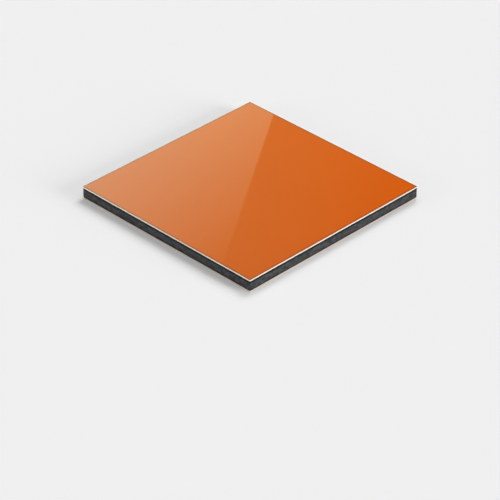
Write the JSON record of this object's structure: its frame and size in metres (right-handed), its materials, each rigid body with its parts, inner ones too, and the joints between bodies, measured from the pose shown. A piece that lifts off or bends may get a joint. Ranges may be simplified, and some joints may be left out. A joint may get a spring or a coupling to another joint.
{
  "type": "aluminium composite panel",
  "caption": "Small square of aluminium composite panel: lacquered metal skins bonded to a dark polyethylene core, for cladding, signs or facing a flat surface.",
  "frame": {"origin": "centre of the back face, on the surface that the panel lies on", "axes": "+X and +Y along the two pairs of cut edges, +Z out of the front face"},
  "size_m": [0.05, 0.05, 0.003],
  "materials": {
    "front_lacquer": "gloss",
    "core_polyethylene": "matte",
    "back_lacquer": "satin",
    "bare_aluminium": "satin"
  },
  "bodies": {
    "root": {"front_skin": "front_lacquer", "core": "core_polyethylene", "back_skin": "back_lacquer"}
  },
  "joints": []
}
